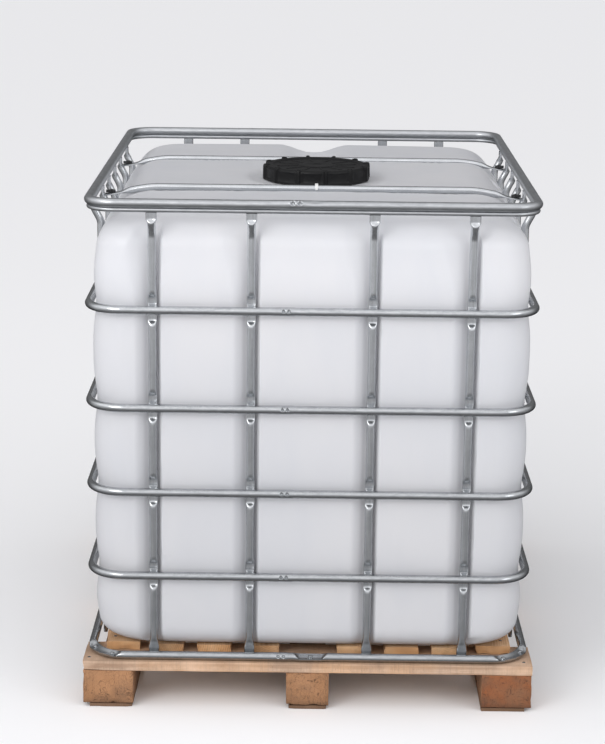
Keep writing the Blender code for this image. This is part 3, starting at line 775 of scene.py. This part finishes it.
def build_bottle():
    walls = {}
    for wall, (count, _) in WALLS.items():
        axis = 0 if wall in ("front", "rear") else 1
        walls[wall] = [centre(f"upright_{wall}_{n}")[axis] for n in range(1, count + 1)]
    straight_x = BOTTLE_HALF_X - BOTTLE_CORNER
    straight_y = BOTTLE_HALF_Y - BOTTLE_CORNER
    mouth = np.linspace(RECESS_HALF - 0.016, RECESS_HALF + 0.008, 11)
    recess_edges = [*-mouth, *mouth]
    order = (
        ("right", wall_places(walls["right"], straight_y, 1), 1),
        ("rear", wall_places(walls["rear"], straight_x, -1, recess_edges), -1),
        ("left", wall_places(walls["left"], straight_y, -1), -1),
        ("front", wall_places(walls["front"], straight_x, 1), 1),
    )
    corner_steps = 16

    levels = []
    for i in range(15):
        angle = math.pi / 2.0 * i / 14
        levels.append((
            FOOT_RADIUS * (1 - math.sin(angle)),
            BOTTLE_FOOT + FOOT_RADIUS * (1 - math.cos(angle)),
        ))
    body = np.linspace(BOTTLE_FOOT + FOOT_RADIUS, BOTTLE_TOP - SHOULDER_DROP, 42)[1:-1]
    body = set(np.round(body, 4))
    body |= set(np.round(np.linspace(RECESS_TOP - 0.012, RECESS_TOP + 0.014, 12), 4))
    levels += [(0.0, float(z)) for z in sorted(body)]
    for i in range(23):
        angle = math.pi / 2.0 * i / 22
        levels.append((
            SHOULDER_REACH * (1 - math.cos(angle)),
            BOTTLE_TOP - SHOULDER_DROP * (1 - math.sin(angle)),
        ))

    def outline(inset, z):
        inset = inset + SHOULDER_LEAN * float(smooth((z - 0.93) / 0.10)) * (1.0 - inset / SHOULDER_REACH)
        corner = BOTTLE_CORNER + (0.45 * inset if z < 0.5 else -0.45 * inset)
        depth = max(0.0, GROOVE_DEPTH - 0.35 * inset)
        held = 0.0
        for ring in RING_HEIGHTS:
            held = max(held, math.exp(-(((z - ring) / 0.045) ** 2)))
        free = (1.0 - held) * float(smooth((z - 0.16) / 0.08) * smooth((1.09 - z) / 0.10))
        belly = BELLY * (1.0 - held)
        half_x = BOTTLE_HALF_X - inset + SIDE_BULGE * free
        half_y = BOTTLE_HALF_Y - inset + END_BULGE * free
        points = []
        for quarter, (wall, places, direction) in enumerate(order):
            if wall in ("left", "right"):
                across, length, straight = half_x, half_y - corner, straight_y
            else:
                across, length, straight = half_y, half_x - corner, straight_x
            scaled = places * (length / straight)
            bulge = (SIDE_BULGE if wall in ("left", "right") else END_BULGE) * free
            centres = [c * (1.0 - 0.3 * inset) for c in walls[wall]]
            dip = (depth + bulge) * groove(scaled, centres, z, direction)
            out = across - dip + belly * (1.0 - (places / straight) ** 4) - BELLY
            if wall in ("left", "rear"):
                out, scaled = out[::-1], scaled[::-1]
            if wall in ("left", "front"):
                out = -out
            points += zip(out, scaled) if wall in ("left", "right") else zip(scaled, out)
            sign_x, sign_y = ((1, 1), (-1, 1), (-1, -1), (1, -1))[quarter]
            for step in range(1, corner_steps):
                angle = math.pi / 2.0 * (quarter + step / corner_steps)
                points.append((
                    sign_x * (half_x - corner) + (corner - BELLY) * math.cos(angle),
                    sign_y * (half_y - corner) + (corner - BELLY) * math.sin(angle),
                ))
        return np.array(points)

    rows = []
    for inset, z in levels:
        flat = outline(inset, z)
        rows.append(np.column_stack([flat, np.full(len(flat), z)]))
    edge = rows[-1]
    angles = np.arctan2(edge[:, 1] - NECK_Y, edge[:, 0] - NECK_X)

    def neck_row(radius, z):
        return np.column_stack([
            NECK_X + radius * np.cos(angles), NECK_Y + radius * np.sin(angles), np.full(len(edge), z)
        ])

    circle = neck_row(NECK_RADIUS + NECK_FILLET, BOTTLE_TOP)
    for share in np.linspace(0.0, 1.0, 31)[1:]:
        rows.append(edge * (1.0 - share) + circle * share)
    for step in range(1, 7):
        angle = math.pi / 2.0 * step / 6
        rows.append(neck_row(
            NECK_RADIUS + NECK_FILLET * (1.0 - math.sin(angle)),
            BOTTLE_TOP + NECK_FILLET * (1.0 - math.cos(angle)),
        ))
    for radius, z in (
        (NECK_RADIUS, NECK_TOP - 0.001), (NECK_RADIUS - 0.001, NECK_TOP), (NECK_BORE + 0.001, NECK_TOP),
        (NECK_BORE, NECK_TOP - 0.001), (NECK_BORE, 1.080),
    ):
        rows.append(neck_row(radius, z))
    rows = np.array(rows)

    # The recess for the valve, pushed in from the rear wall.
    x, y, z = rows[..., 0], rows[..., 1], rows[..., 2]
    side = smooth((RECESS_HALF + 0.004 - np.abs(x)) / 0.016)
    roof = smooth((RECESS_TOP + 0.006 - z) / 0.014)
    into = side * roof * (y > RECESS_BACK)
    rows[..., 1] = y + (RECESS_BACK - y) * into

    # The top: pads between the bars, and the channel down the middle of the rear part.
    from_neck = np.hypot(x - NECK_X, y - NECK_Y)
    on_top = smooth((z - 1.060) / 0.040) * (from_neck > NECK_RADIUS + 0.004)
    from_bar = np.minimum(np.abs(y - BAR_Y), np.abs(y + BAR_Y))
    beside_bar = smooth((from_bar - 0.010) / 0.013)
    beside_neck = 1.0 - smooth((0.170 - from_neck) / 0.03)
    pads = (0.0058 + 0.0070 * smooth((y + 0.05) / 0.38)) * beside_bar * beside_neck
    channel = 0.0200 * smooth((0.088 - np.abs(x)) / 0.080) * smooth((y - 0.255) / 0.05)
    crown = 0.0010 * np.cos(np.pi * np.clip(x / 0.47, -1, 1))
    rows[..., 2] = z + on_top * (pads - channel + crown)

    finish_piece("bottle_skin", merged([skin(rows)]), MILKY, ("bottle",), sharp=50.0)

    profile = rounded(
        0.0012,
        (RECESS_BACK - 0.012, 0.0250), (RECESS_BACK - 0.012, 0.0480), (RECESS_BACK + 0.0025, 0.0480),
        (RECESS_BACK + 0.0045, 0.0372), (0.4750, 0.0372), (0.4750, 0.0250),
    )
    boss = merged([lathe(profile, 72, along_y())])
    finish_piece("outlet_boss", boss, MILKY)


# --- lid
def build_lid():
    """Screw lid with twelve gripping ribs, panels between them and a dished top."""
    ribs = 12
    angles = around(288)
    phase = (angles - math.radians(-80.0)) * ribs / (2.0 * math.pi)
    away = np.abs(phase - np.round(phase)) * 2.0 * math.pi / ribs * 0.125
    rib = smooth((0.0052 - away) / 0.0022)
    shoulder = smooth((0.0105 - away) / 0.0035)
    foot, top = LID_FOOT, LID_TOP
    seal_low, seal_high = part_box("lid_gasket")
    ceiling = seal_high.z + 0.0003
    low = top - 0.0030
    rows = []
    # Each row: radius, height, and how far the ribs stand out, rise, the panels sink, the spokes rise.
    for radius, z, *more in (
        (0.1158, ceiling), (0.1158, foot + 0.0010), (0.1166, foot), (0.1236, foot, 0.0030),
        (0.1246, foot + 0.0010, 0.0034), (0.1246, foot + 0.0040, 0.0036),
        (0.1244, foot + 0.0058, 0.0038, 0.0, 0.0016), (0.1241, foot + 0.0085, 0.0040, 0.0, 0.0022),
        (0.1238, foot + 0.0150, 0.0042, 0.0, 0.0022), (0.1235, top - 0.0110, 0.0044, 0.0, 0.0020),
        (0.1233, top - 0.0080, 0.0046, 0.0, 0.0014), (0.1230, top - 0.0055, 0.0048),
        (0.1224, low, 0.0052, 0.0010), (0.1214, top - 0.0012, 0.0054, 0.0022),
        (0.1200, top - 0.0002, 0.0046, 0.0029), (0.1180, top, 0.0030, 0.0030),
        (0.1150, top, 0.0, 0.0024), (0.1110, top, 0.0, 0.0004), (0.1060, top),
        (0.1040, top - 0.0006), (0.1025, top - 0.0022), (0.1010, low), (0.0960, low),
        *((radius, low, 0.0, 0.0, 0.0, 0.0018) for radius in np.linspace(0.092, 0.048, 10)),
        (0.0440, low), (0.0425, top - 0.0022), (0.0410, top - 0.0012), (0.0380, top - 0.0010),
        (0.0120, top - 0.0010), (0.0100, top - 0.0020),
    ):
        rib_out, rib_up, panel, spokes = (*more, 0.0, 0.0, 0.0, 0.0)[:4]
        r = radius + rib_out * rib - panel * (1.0 - shoulder)
        height = z + rib_up * rib + spokes * rib
        rows.append(np.column_stack([NECK_X + r * np.cos(angles), NECK_Y + r * np.sin(angles), height]))
    shell = merged([skin(rows)])
    finish_piece("screw_lid_shell", shell, BLACK_LID, ("screw_lid",), "lid")
    profile = rounded(
        0.0009, (seal_low.z, 0.1012), (seal_low.z, 0.1123), (seal_high.z, 0.1123), (seal_high.z, 0.1012)
    )
    ring = merged([lathe(profile, 96, ON_NECK)])
    finish_piece("lid_gasket_ring", ring, RUBBER, ("lid_gasket",), "lid_seal_carrier")


def build_tie():
    """The white seal tie: a strap that runs from under the lid over the front cross bar."""
    path = [Vector(point) for point in (
        (-0.1585, 1.1120), (-0.1595, 1.1110), (-0.1720, 1.1112), (-0.1900, 1.1142), (-0.2050, 1.1190),
        (-0.2165, 1.1223), (-0.2250, 1.1233), (-0.2322, 1.1208), (-0.2356, 1.1155), (-0.2360, 1.1108),
    )]
    half_width, half_thick = 0.0036, 0.0008
    angles = around(20)
    side = np.sign(np.cos(angles)) * np.abs(np.cos(angles)) ** 0.5
    face = np.sign(np.sin(angles)) * np.abs(np.sin(angles)) ** 0.5
    rows = []
    for number, (y, z) in enumerate(path):
        run = (path[min(number + 1, len(path) - 1)] - path[max(number - 1, 0)]).normalized()
        end = 0.6 if number in (0, len(path) - 1) else 1.0
        rows.append(np.column_stack([
            NECK_X + half_width * end * side,
            y - run.y * half_thick * end * face,
            z + run.x * half_thick * end * face,
        ]))
    finish_piece("seal_tie", merged([skin(rows)]), WHITE_TIE)


# --- valve
def ribbed_lathe(stations, count, ribs, place, width=0.5):
    """A turned form with ribs. Stations are (height, radius, rib rise); the profile closes."""
    angles = around(count)
    phase = angles * ribs / (2.0 * math.pi)
    away = np.abs(phase - np.round(phase)) * 2.0
    rib = smooth((width - away) / (0.5 * width))
    rows = []
    for height, radius, rise in stations:
        r = radius + rise * rib
        rows.append([
            place @ Vector((q * math.cos(a), q * math.sin(a), height)) for q, a in zip(r, angles)
        ])
    return skin(rows, closed=True)


def build_valve():
    axis = along_y()
    body = rounded(
        0.0010,
        (0.4755, 0.0250), (0.4755, 0.0370), (0.4796, 0.0370), (0.4796, 0.0328), (0.4880, 0.0328),
        (0.4905, 0.0357), (0.5195, 0.0357), (0.5235, 0.0298), (0.5552, 0.0298), (0.5552, 0.0250),
    )
    hole = 0.0064
    stem_hole = lathe(((0.2200, hole), (0.2450, hole)), 32, ON_STEM, closed=False)
    boss = rounded(0.0007, (0.2320, hole), (0.2320, 0.0136), (0.2498, 0.0136), (0.2498, hole))
    parts = [drilled(lathe(body, 96, axis), stem_hole), lathe(boss, 48, ON_STEM)]
    for x in (-0.0150, 0.0150):
        parts.append(skin([
            [(x - half, y, 0.2280), (x + half, y, 0.2280),
             (x + 0.8 * half, y, 0.2415), (x - 0.8 * half, y, 0.2415)]
            for y, half in ((0.4920, 0.0012), (0.4935, 0.0016), (0.5165, 0.0016), (0.5180, 0.0012))
        ]))
    finish_piece("valve_body_shell", merged(parts), DARK_VALVE, ("valve_body",))

    nut = (
        (0.4592, 0.0382, 0.0), (0.4592, 0.0432, 0.0012), (0.4602, 0.0442, 0.0022), (0.4640, 0.0444, 0.0025),
        (0.4790, 0.0440, 0.0027), (0.4832, 0.0432, 0.0022), (0.4844, 0.0420, 0.0010), (0.4844, 0.0345, 0.0),
        (0.4838, 0.0336, 0.0), (0.4804, 0.0336, 0.0), (0.4802, 0.0382, 0.0),
    )
    shell = merged([ribbed_lathe(nut, 192, 8, axis, 0.42)])
    finish_piece("union_nut_shell", shell, BLACK_NUT, ("union_nut",))

    disc = rounded(
        0.0006, (-0.0024, 0.0001), (-0.0024, 0.0150), (-0.0016, 0.0243),
        (0.0016, 0.0243), (0.0024, 0.0150), (0.0024, 0.0001),
    )
    stem = rounded(
        0.0005, (0.1800, 0.0001), (0.1800, 0.0050), (0.2300, 0.0058),
        (0.2672, 0.0058), (0.2678, 0.0052), (0.2678, 0.0001),
    )
    turning = merged([lathe(disc, 64, along_y(VALVE_Y)), lathe(stem, 32, ON_STEM)])
    finish_piece("valve_disc_and_stem", turning, PALE_DISC, ("valve_disc",), "valve_stem")
    build_lever()
    cap = (
        (0.5584, 0.0308, 0.0), (0.5392, 0.0308, 0.0), (0.5384, 0.0316, 0.0), (0.5384, 0.0346, 0.0010),
        (0.5392, 0.0354, 0.0014), (0.5520, 0.0352, 0.0016), (0.5630, 0.0350, 0.0016),
        (0.5654, 0.0340, 0.0010), (0.5662, 0.0325, 0.0), (0.5662, 0.0240, 0.0), (0.5656, 0.0232, 0.0),
        (0.5648, 0.0222, 0.0), (0.5648, 0.0010, 0.0), (0.5584, 0.0010, 0.0),
    )
    shell = merged([ribbed_lathe(cap, 192, 24, axis)])
    finish_piece("outlet_cap_shell", shell, BLACK_NUT, ("outlet_cap",), "outlet_closure")
    low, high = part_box("outlet_gasket")
    seal = rounded(0.0008, (low.y, 0.0222), (low.y, 0.0293), (high.y, 0.0293), (high.y, 0.0222))
    ring = merged([lathe(seal, 64, axis)])
    finish_piece(
        "outlet_gasket_ring", ring, RUBBER, ("outlet_gasket",), "outlet_seal_carrier"
    )


def build_lever():
    """The lever: a hub over the stem and a ribbed arm that ends in a raised finger grip."""
    hub = rounded(0.0012, (0.2505, 0.0064), (0.2505, 0.0156), (0.2708, 0.0156), (0.2708, 0.0064))
    cap = rounded(0.0008, (0.2684, 0.0001), (0.2684, 0.0070), (0.2722, 0.0070), (0.2722, 0.0001))
    root, tip, low = 0.0120, 0.0878, 0.2612
    rows = []
    for x in np.linspace(root, tip, 30):
        t = (x - root) / (tip - root)
        half = 0.0112 + 0.0022 * math.sin(math.pi * t) ** 2 + 0.0018 * float(smooth((t - 0.7) / 0.2))
        half *= math.sqrt(max(0.06, 1.0 - max(0.0, (t - 0.84) / 0.16) ** 2))
        high = 0.2690 + 0.0036 * float(smooth((t - 0.72) / 0.2))
        section = []
        for a in around(24):
            c, s = math.cos(a), math.sin(a)
            y = half * math.copysign(abs(c) ** 0.35, c)
            z = (low + high) / 2 + (high - low) / 2 * math.copysign(abs(s) ** 0.35, s)
            if s > 0.2 and abs(y) < 0.72 * half and 0.16 < t < 0.70:
                z -= 0.0022
            section.append((x, VALVE_Y + y, z))
        rows.append(section)
    arm = merged([lathe(hub, 64, ON_STEM), lathe(cap, 40, ON_STEM), skin(rows)])
    finish_piece("valve_lever_arm", arm, RED_LEVER, ("valve_lever",), "valve_stem")


# --- pallet
def worn_box(low, high, seed, cuts, chips, amplitude):
    """A sawn board: a divided box with uneven faces and knocked edges, kept inside its bounds."""
    bm = bmesh.new()
    bmesh.ops.create_cube(bm, size=1.0)
    bmesh.ops.subdivide_edges(bm, edges=bm.edges[:], cuts=cuts, use_grid_fill=True)
    low, high = np.array(low), np.array(high)
    middle, size = (low + high) / 2.0, high - low
    rng = np.random.default_rng(seed)
    marks = []
    for _ in range(chips):
        axis = int(rng.integers(0, 3))
        spot = rng.uniform(-0.5, 0.5, 3)
        for other in {0, 1, 2} - {axis}:
            spot[other] = math.copysign(0.5, spot[other])
        reach, depth = rng.uniform(0.006, 0.016), rng.uniform(0.001, 0.0035)
        marks.append((middle + spot * size, reach, depth))
    for vertex in bm.verts:
        unit = np.array(vertex.co)
        point = middle + unit * size
        broad = noise.noise_vector(Vector(point * 18.0) + Vector((seed * 3.1, 0, 0)))
        fine = noise.noise_vector(Vector(point * 70.0) + Vector((0, seed * 1.7, 0)))
        shift = np.array(broad) * amplitude + np.array(fine) * amplitude * 0.5
        inward = -np.sign(unit) * (np.abs(unit) > 0.499)
        point = point + shift + inward * amplitude * 0.6
        for spot, reach, depth in marks:
            away = float(np.linalg.norm(point - spot))
            if away < reach:
                point = point + inward * depth * (1.0 - away / reach)
        vertex.co = np.clip(point, low + EDGE_MARGIN, high - EDGE_MARGIN)
    bmesh.ops.recalc_face_normals(bm, faces=bm.faces[:])
    mesh = bpy.data.meshes.new("board")
    bm.to_mesh(mesh)
    bm.free()
    return mesh


EDGE_MARGIN = 0.00005
BOARD_END = (0.76, 0.42, 0.19)
RED_END = (0.32, 0.10, 0.030)
# Each kind: its slot, the cuts, chips and amplitude of its worn box, and what its wood is.
TIMBER = {
    # Painted shade: the runners' wood colours are much darker than the other boards, for the shadow they
    # lie in under the pallet.
    "runner": (
        "pallet_runner", (10, 6, 0.0004),
        ("Y", (0.24, 0.14, 0.08), (0.16, 0.09, 0.05), (0.20, 0.11, 0.06)),
    ),
    "block": (
        "pallet_block", (14, 14, 0.0007),
        ("Y", (0.50, 0.27, 0.14), (0.32, 0.14, 0.06), (0.46, 0.23, 0.105), 120.0, 0.95, 0.70, 0.20),
    ),
    "cross_board": (
        "pallet_board", (22, 12, 0.0005),
        ("X", (0.58, 0.405, 0.285), (0.40, 0.25, 0.16), BOARD_END, 60.0, 0.35, 0.30),
    ),
    "deck_board": (
        "pallet_board", (18, 10, 0.0005),
        ("Y", (0.80, 0.53, 0.32), (0.58, 0.33, 0.17), BOARD_END, 80.0, 0.5),
    ),
}


def build_pallet():
    first_seed = 11
    nodes = [(node, kind) for node in sorted(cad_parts) for kind in TIMBER if node.startswith(kind)]
    for seed, (node, kind) in enumerate(nodes, start=first_seed):
        slot, wear, timber = TIMBER[kind]
        if node == "block_front_right":
            timber = (*timber[:3], RED_END, *timber[4:])
        material = wood(f"wood_{node}", seed, *timber)
        mesh = worn_box(*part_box(node), seed, *wear)
        piece = finish_piece(f"{node}_wood", mesh, material, (node,), sharp=30.0)
        bevel = piece.modifiers.new("worn_edge", "BEVEL")
        bevel.width = 0.0018
        bevel.segments = 2
        bevel.limit_method = "ANGLE"
        bevel.angle_limit = math.radians(50.0)


def build_nails():
    """Nail heads in the deck boards over the cross boards, and in the cross boards over the blocks."""
    parts = []
    rng = np.random.default_rng(5)

    def nail(x, y, z):
        radius = 0.0042
        profile = ((0.0, 0.0001), (0.0, radius), (0.0009, radius), (0.0014, radius * 0.8), (0.0016, 0.0001))
        parts.append(lathe(profile, 14, Matrix.Translation((x, y, z - 0.0012))))

    for number in range(1, 9):
        low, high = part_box(f"deck_board_{number}")
        for y in (low.y + 0.030, 0.030, -0.030, high.y - 0.030):
            for x in (low.x + 0.018, high.x - 0.018):
                nail(x + rng.uniform(-0.004, 0.004), y + rng.uniform(-0.006, 0.006), high.z)
    for row in ("front", "middle", "rear"):
        low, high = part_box(f"cross_board_{row}")
        for sign in (-1, 1):
            for y in (low.y + 0.026, high.y - 0.030):
                nail(sign * (0.486 + rng.uniform(-0.004, 0.004)), y, high.z)
    finish_piece("pallet_nails", merged(parts), METAL_BOLT)


def build_rail_screws():
    """Screws that hold the bottom rail down: two at each corner, one at each end's middle."""
    inset = RING_INSET + RING_RADIUS
    spots = [(0.006, -(HALF_Y - inset)), (0.006, HALF_Y - inset)]
    centre_x = HALF_X - inset - RING_CORNER
    centre_y = HALF_Y - inset - RING_CORNER
    for sign_x in (-1, 1):
        for sign_y in (-1, 1):
            for angle in (25.0, 66.0):
                a = math.radians(angle)
                spots.append((
                    sign_x * (centre_x + RING_CORNER * math.cos(a)),
                    sign_y * (centre_y + RING_CORNER * math.sin(a)),
                ))
    head = (
        (-0.004, 0.0001), (-0.004, 0.0046), (0.0008, 0.0050),
        (0.0022, 0.0040), (0.0030, 0.0020), (0.0024, 0.0001),
    )
    screws = [lathe(head, 24, Matrix.Translation((x, y, BASE_HEIGHT + 0.0004))) for x, y in spots]
    finish_piece("rail_screws", merged(screws), METAL_BOLT)


# --- build
build_rings()
build_base_rail()
build_rim()
build_uprights()
build_cross_bars()
build_bar_bolts()
build_bottle()
build_lid()
build_tie()
build_valve()
build_pallet()
build_nails()
build_rail_screws()


# --- stage, light and camera
def build_floor():
    size = 30.0
    mesh = bpy.data.meshes.new("floor")
    corners = [(-size, -size, 0), (size, -size, 0), (size, size, 0), (-size, size, 0)]
    mesh.from_pydata(corners, [], [(0, 1, 2, 3)])
    floor = bpy.data.objects.new("floor", mesh)
    bpy.context.scene.collection.objects.link(floor)
    material = bpy.data.materials.new("pale_floor")
    material.use_nodes = True
    nodes = Nodes(material.node_tree)
    nodes.tree.nodes.clear()
    diffuse = nodes.add("ShaderNodeBsdfDiffuse", [("Color", (0.95, 0.95, 0.955, 1.0))])
    nodes.add("ShaderNodeOutputMaterial", [("Surface", diffuse.outputs[0])])
    mesh.materials.append(material)
    floor.visible_glossy = False


def build_world():
    """Studio surroundings: pale to the eye, a bright front and top, and dark low down behind."""
    world = bpy.data.worlds.new("studio")
    bpy.context.scene.world = world
    world.use_nodes = True
    nodes = Nodes(world.node_tree)
    nodes.tree.nodes.clear()
    x, y, z = nodes.split(nodes.add("ShaderNodeTexCoord").outputs["Generated"])
    rise = nodes.span(z, (-1.0, 1.0), (0.0, 1.0))
    front = nodes.ramp(rise, *((height, (grey, grey, grey * 1.02)) for height, grey in (
        (0.0, 0.18), (0.20, 0.24), (0.325, 0.40), (0.38, 0.56), (0.45, 0.72), (0.50, 0.66),
        (0.56, 0.92), (0.70, 1.38), (0.85, 1.22), (1.0, 1.10),
    )))
    behind = nodes.span(y, (-0.15, 0.75), (1.0, 0.17), "SMOOTHSTEP")
    across = nodes.span(x, (-1.0, 1.0), (1.07, 0.85))
    studio = nodes.mix(1.0, nodes.mix(1.0, front, behind, "MULTIPLY"), across, "MULTIPLY")
    camera_ray = nodes.add("ShaderNodeLightPath").outputs["Is Camera Ray"]
    seen = nodes.mix(camera_ray, studio, (0.86, 0.86, 0.87))
    background = nodes.add("ShaderNodeBackground", [("Color", seen)])
    nodes.add("ShaderNodeOutputWorld", [("Surface", background.outputs[0])])


def add_light(name, place, target, size, power, colour):
    data = bpy.data.lights.new(name, "AREA")
    data.shape = "RECTANGLE"
    data.size, data.size_y = size
    data.energy = power
    data.color = colour
    light = bpy.data.objects.new(name, data)
    light.location = place
    light.rotation_mode = "QUATERNION"
    light.rotation_quaternion = (Vector(target) - Vector(place)).to_track_quat("-Z", "Y")
    bpy.context.scene.collection.objects.link(light)


def build_camera():
    data = bpy.data.cameras.new("camera")
    data.sensor_fit = "AUTO"
    data.sensor_width = 36.0
    data.lens = LENS
    data.clip_start = 0.1
    data.clip_end = 100.0
    camera = bpy.data.objects.new("camera", data)
    pan, tilt, roll = (math.radians(angle) for angle in CAMERA_TURN)
    turn = Matrix.Rotation(pan, 4, "Z") @ Matrix.Rotation(tilt, 4, "X") @ Matrix.Rotation(roll, 4, "Z")
    camera.matrix_world = Matrix.Translation(CAMERA_PLACE) @ turn
    bpy.context.scene.collection.objects.link(camera)
    bpy.context.scene.camera = camera


build_floor()
build_world()
add_light("key", (-3.2, -4.6, 3.6), (0.0, 0.0, 0.6), (2.6, 2.2), 80.0, (1.0, 0.99, 0.985))
add_light("fill", (3.8, -3.4, 2.2), (0.0, 0.0, 0.6), (1.8, 2.2), 20.0, (0.96, 0.98, 1.0))
build_camera()
bpy.context.scene.view_settings.view_transform = "Standard"
